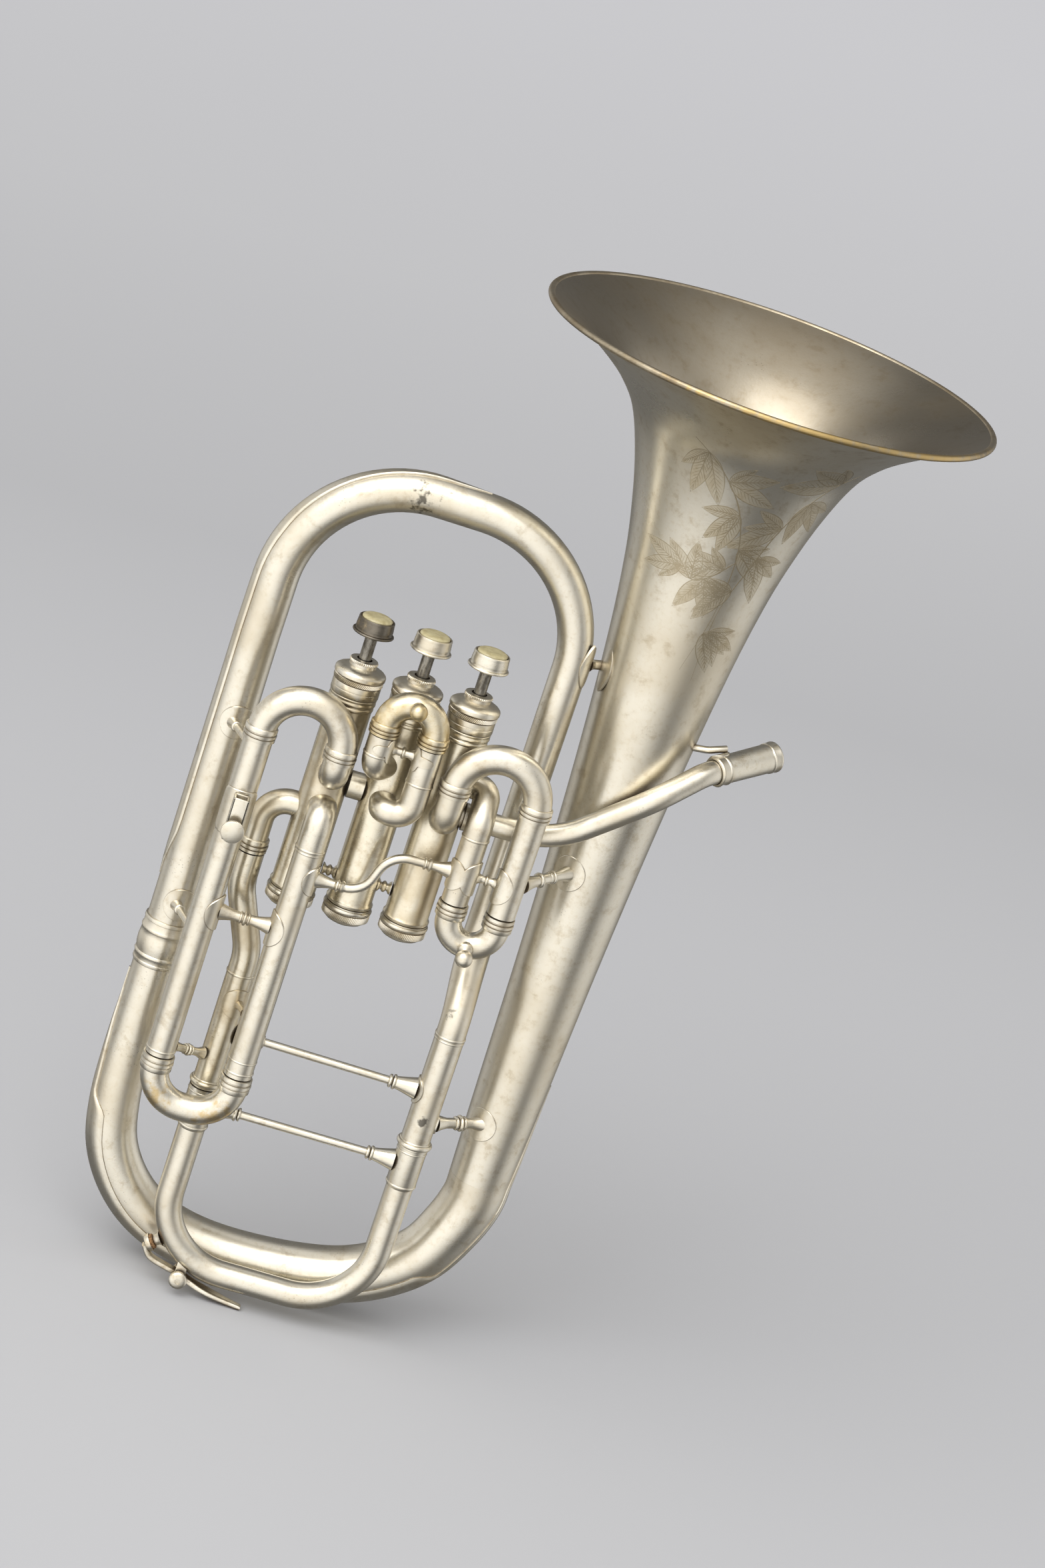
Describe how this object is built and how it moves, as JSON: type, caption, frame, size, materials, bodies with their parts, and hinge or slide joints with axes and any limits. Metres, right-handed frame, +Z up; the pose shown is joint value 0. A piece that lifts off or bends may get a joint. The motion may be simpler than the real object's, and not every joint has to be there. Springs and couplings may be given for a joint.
{
  "type": "upright valve horn",
  "caption": "Small upright brass horn of the tuba family with piston valves, pull slides, a curved leadpipe and a wide upward bell.",
  "frame": {"origin": "on the ground under the middle of the horn's bounding box", "axes": "+Z up along the valves and the bell, +X towards the side of the bell, +Y away from the valve slides"},
  "size_m": [0.3068, 0.215, 0.5201],
  "materials": {
    "bell": "silver plate on brass with heavy brown tarnish",
    "bell_leg_brace": "worn satin silver plate on brass",
    "bell_slide_brace": "worn satin silver plate on brass",
    "bottom_bow": "worn satin silver plate on brass",
    "bottom_bow_guard": "worn satin silver plate on brass",
    "bow_bell_brace": "worn satin silver plate on brass",
    "bow_ferrule": "worn satin silver plate on brass",
    "branch_brace_lower": "worn satin silver plate on brass",
    "branch_brace_upper": "worn satin silver plate on brass",
    "button_1": "silver plate on brass with heavy brown tarnish",
    "button_2": "worn satin silver plate on brass",
    "button_3": "worn satin silver plate on brass",
    "exit_brace": "worn satin silver plate on brass",
    "exit_branch": "worn satin silver plate on brass",
    "exit_crook": "worn satin silver plate on brass",
    "first_slide": "worn satin silver plate on brass",
    "first_slide_brace": "worn satin silver plate on brass",
    "first_slide_right_sleeve": "worn satin silver plate on brass",
    "first_slide_upper_branch": "worn satin silver plate on brass",
    "leadpipe": "worn satin silver plate on brass",
    "leadpipe_brace": "worn satin silver plate on brass",
    "lyre_holder": "worn satin silver plate on brass",
    "lyre_screw": "worn satin silver plate on brass",
    "mouthpiece_receiver": "worn satin silver plate on brass",
    "pearl_1": "pale green-cream mother-of-pearl disc, polished",
    "pearl_2": "pale green-cream mother-of-pearl disc, polished",
    "pearl_3": "pale green-cream mother-of-pearl disc, polished",
    "piston_1": "dull grey nickel silver and steel, lightly mottled",
    "piston_2": "dull grey nickel silver and steel, lightly mottled",
    "piston_3": "dull grey nickel silver and steel, lightly mottled",
    "piston_spring_1": "dull grey nickel silver and steel, lightly mottled",
    "piston_spring_2": "dull grey nickel silver and steel, lightly mottled",
    "piston_spring_3": "dull grey nickel silver and steel, lightly mottled",
    "s_brace": "worn satin silver plate on brass",
    "second_slide": "worn satin silver plate on brass",
    "second_slide_brace": "worn satin silver plate on brass",
    "second_slide_left_sleeve": "worn satin silver plate on brass",
    "second_slide_right_sleeve": "worn satin silver plate on brass",
    "sleeve_rod": "worn satin silver plate on brass",
    "third_slide": "worn satin silver plate on brass",
    "third_slide_brace": "worn satin silver plate on brass",
    "third_slide_middle_sleeve": "worn satin silver plate on brass",
    "third_slide_upper_branch": "worn satin silver plate on brass",
    "top_bow": "worn satin silver plate on brass",
    "top_bow_guard": "worn satin silver plate on brass",
    "tuning_slide": "worn satin silver plate on brass",
    "tuning_slide_rod": "worn satin silver plate on brass",
    "valve_bottom_cap_1": "worn satin silver plate on brass",
    "valve_bottom_cap_2": "worn satin silver plate on brass",
    "valve_bottom_cap_3": "worn satin silver plate on brass",
    "valve_casing_1": "worn satin silver plate on brass",
    "valve_casing_2": "worn satin silver plate on brass",
    "valve_casing_3": "worn satin silver plate on brass",
    "valve_top_cap_1": "worn satin silver plate on brass",
    "valve_top_cap_2": "worn satin silver plate on brass",
    "valve_top_cap_3": "worn satin silver plate on brass",
    "water_key_cork": "brown cork pad, matt",
    "water_key_lever": "worn satin silver plate on brass",
    "water_key_nipple": "worn satin silver plate on brass",
    "water_key_screw": "dull grey nickel silver and steel, lightly mottled"
  },
  "bodies": {
    "horn": {"bell": "bell", "bell_leg_brace": "bell_leg_brace", "bell_slide_brace": "bell_slide_brace", "bottom_bow": "bottom_bow", "bottom_bow_guard": "bottom_bow_guard", "bow_bell_brace": "bow_bell_brace", "bow_ferrule": "bow_ferrule", "branch_brace_lower": "branch_brace_lower", "branch_brace_upper": "branch_brace_upper", "exit_brace": "exit_brace", "exit_branch": "exit_branch", "exit_crook": "exit_crook", "first_slide_brace": "first_slide_brace", "first_slide_right_sleeve": "first_slide_right_sleeve", "first_slide_upper_branch": "first_slide_upper_branch", "leadpipe": "leadpipe", "leadpipe_brace": "leadpipe_brace", "lyre_holder": "lyre_holder", "mouthpiece_receiver": "mouthpiece_receiver", "piston_spring_1": "piston_spring_1", "piston_spring_2": "piston_spring_2", "piston_spring_3": "piston_spring_3", "s_brace": "s_brace", "second_slide_brace": "second_slide_brace", "second_slide_left_sleeve": "second_slide_left_sleeve", "second_slide_right_sleeve": "second_slide_right_sleeve", "sleeve_rod": "sleeve_rod", "third_slide_brace": "third_slide_brace", "third_slide_middle_sleeve": "third_slide_middle_sleeve", "third_slide_upper_branch": "third_slide_upper_branch", "top_bow": "top_bow", "top_bow_guard": "top_bow_guard", "valve_bottom_cap_1": "valve_bottom_cap_1", "valve_bottom_cap_2": "valve_bottom_cap_2", "valve_bottom_cap_3": "valve_bottom_cap_3", "valve_casing_1": "valve_casing_1", "valve_casing_2": "valve_casing_2", "valve_casing_3": "valve_casing_3", "valve_top_cap_1": "valve_top_cap_1", "valve_top_cap_2": "valve_top_cap_2", "valve_top_cap_3": "valve_top_cap_3"},
    "piston_1_set": {"piston_1": "piston_1", "button_1": "button_1", "pearl_1": "pearl_1"},
    "piston_2_set": {"piston_2": "piston_2", "button_2": "button_2", "pearl_2": "pearl_2"},
    "piston_3_set": {"piston_3": "piston_3", "button_3": "button_3", "pearl_3": "pearl_3"},
    "first_slide": {"first_slide": "first_slide"},
    "second_slide": {"second_slide": "second_slide"},
    "third_slide": {"third_slide": "third_slide"},
    "tuning_slide": {"tuning_slide": "tuning_slide", "tuning_slide_rod": "tuning_slide_rod", "water_key_nipple": "water_key_nipple", "water_key_screw": "water_key_screw"},
    "water_key": {"water_key_lever": "water_key_lever", "water_key_cork": "water_key_cork"},
    "lyre_screw": {"lyre_screw": "lyre_screw"}
  },
  "joints": [
    {"name": "piston_1_stroke", "type": "slide", "parent": "horn", "child": "piston_1_set", "axis": [0, 0, -1], "range_m": [0, 0.012], "stiffness_N_per_m": 120, "springref_m": -0.032, "deforming": ["piston_spring_1"]},
    {"name": "piston_2_stroke", "type": "slide", "parent": "horn", "child": "piston_2_set", "axis": [0, 0, -1], "range_m": [0, 0.012], "stiffness_N_per_m": 120, "springref_m": -0.032, "deforming": ["piston_spring_2"]},
    {"name": "piston_3_stroke", "type": "slide", "parent": "horn", "child": "piston_3_set", "axis": [0, 0, -1], "range_m": [0, 0.012], "stiffness_N_per_m": 120, "springref_m": -0.032, "deforming": ["piston_spring_3"]},
    {"name": "first_slide_pull", "type": "slide", "parent": "horn", "child": "first_slide", "axis": [0, 0, -1], "range_m": [0, 0.045]},
    {"name": "second_slide_pull", "type": "slide", "parent": "horn", "child": "second_slide", "axis": [0, 0, 1], "range_m": [0, 0.007]},
    {"name": "third_slide_pull", "type": "slide", "parent": "horn", "child": "third_slide", "axis": [0, 0, -1], "range_m": [0, 0.025]},
    {"name": "tuning_slide_pull", "type": "slide", "parent": "horn", "child": "tuning_slide", "axis": [0, 0, -1], "range_m": [0, 0.045]},
    {"name": "water_key_lift", "type": "hinge", "parent": "tuning_slide", "child": "water_key", "pos_m": [-0.08616, -0.025, 0.0088], "axis": [0, -1, 0], "range_deg": [0, 7], "stiffness_Nm_per_rad": 0.03, "springref_deg": -28.65},
    {"name": "lyre_screw_turn", "type": "hinge", "parent": "horn", "child": "lyre_screw", "pos_m": [-0.12726, -0.06135, 0.2503], "axis": [0, -1, 0], "continuous": true}
  ]
}
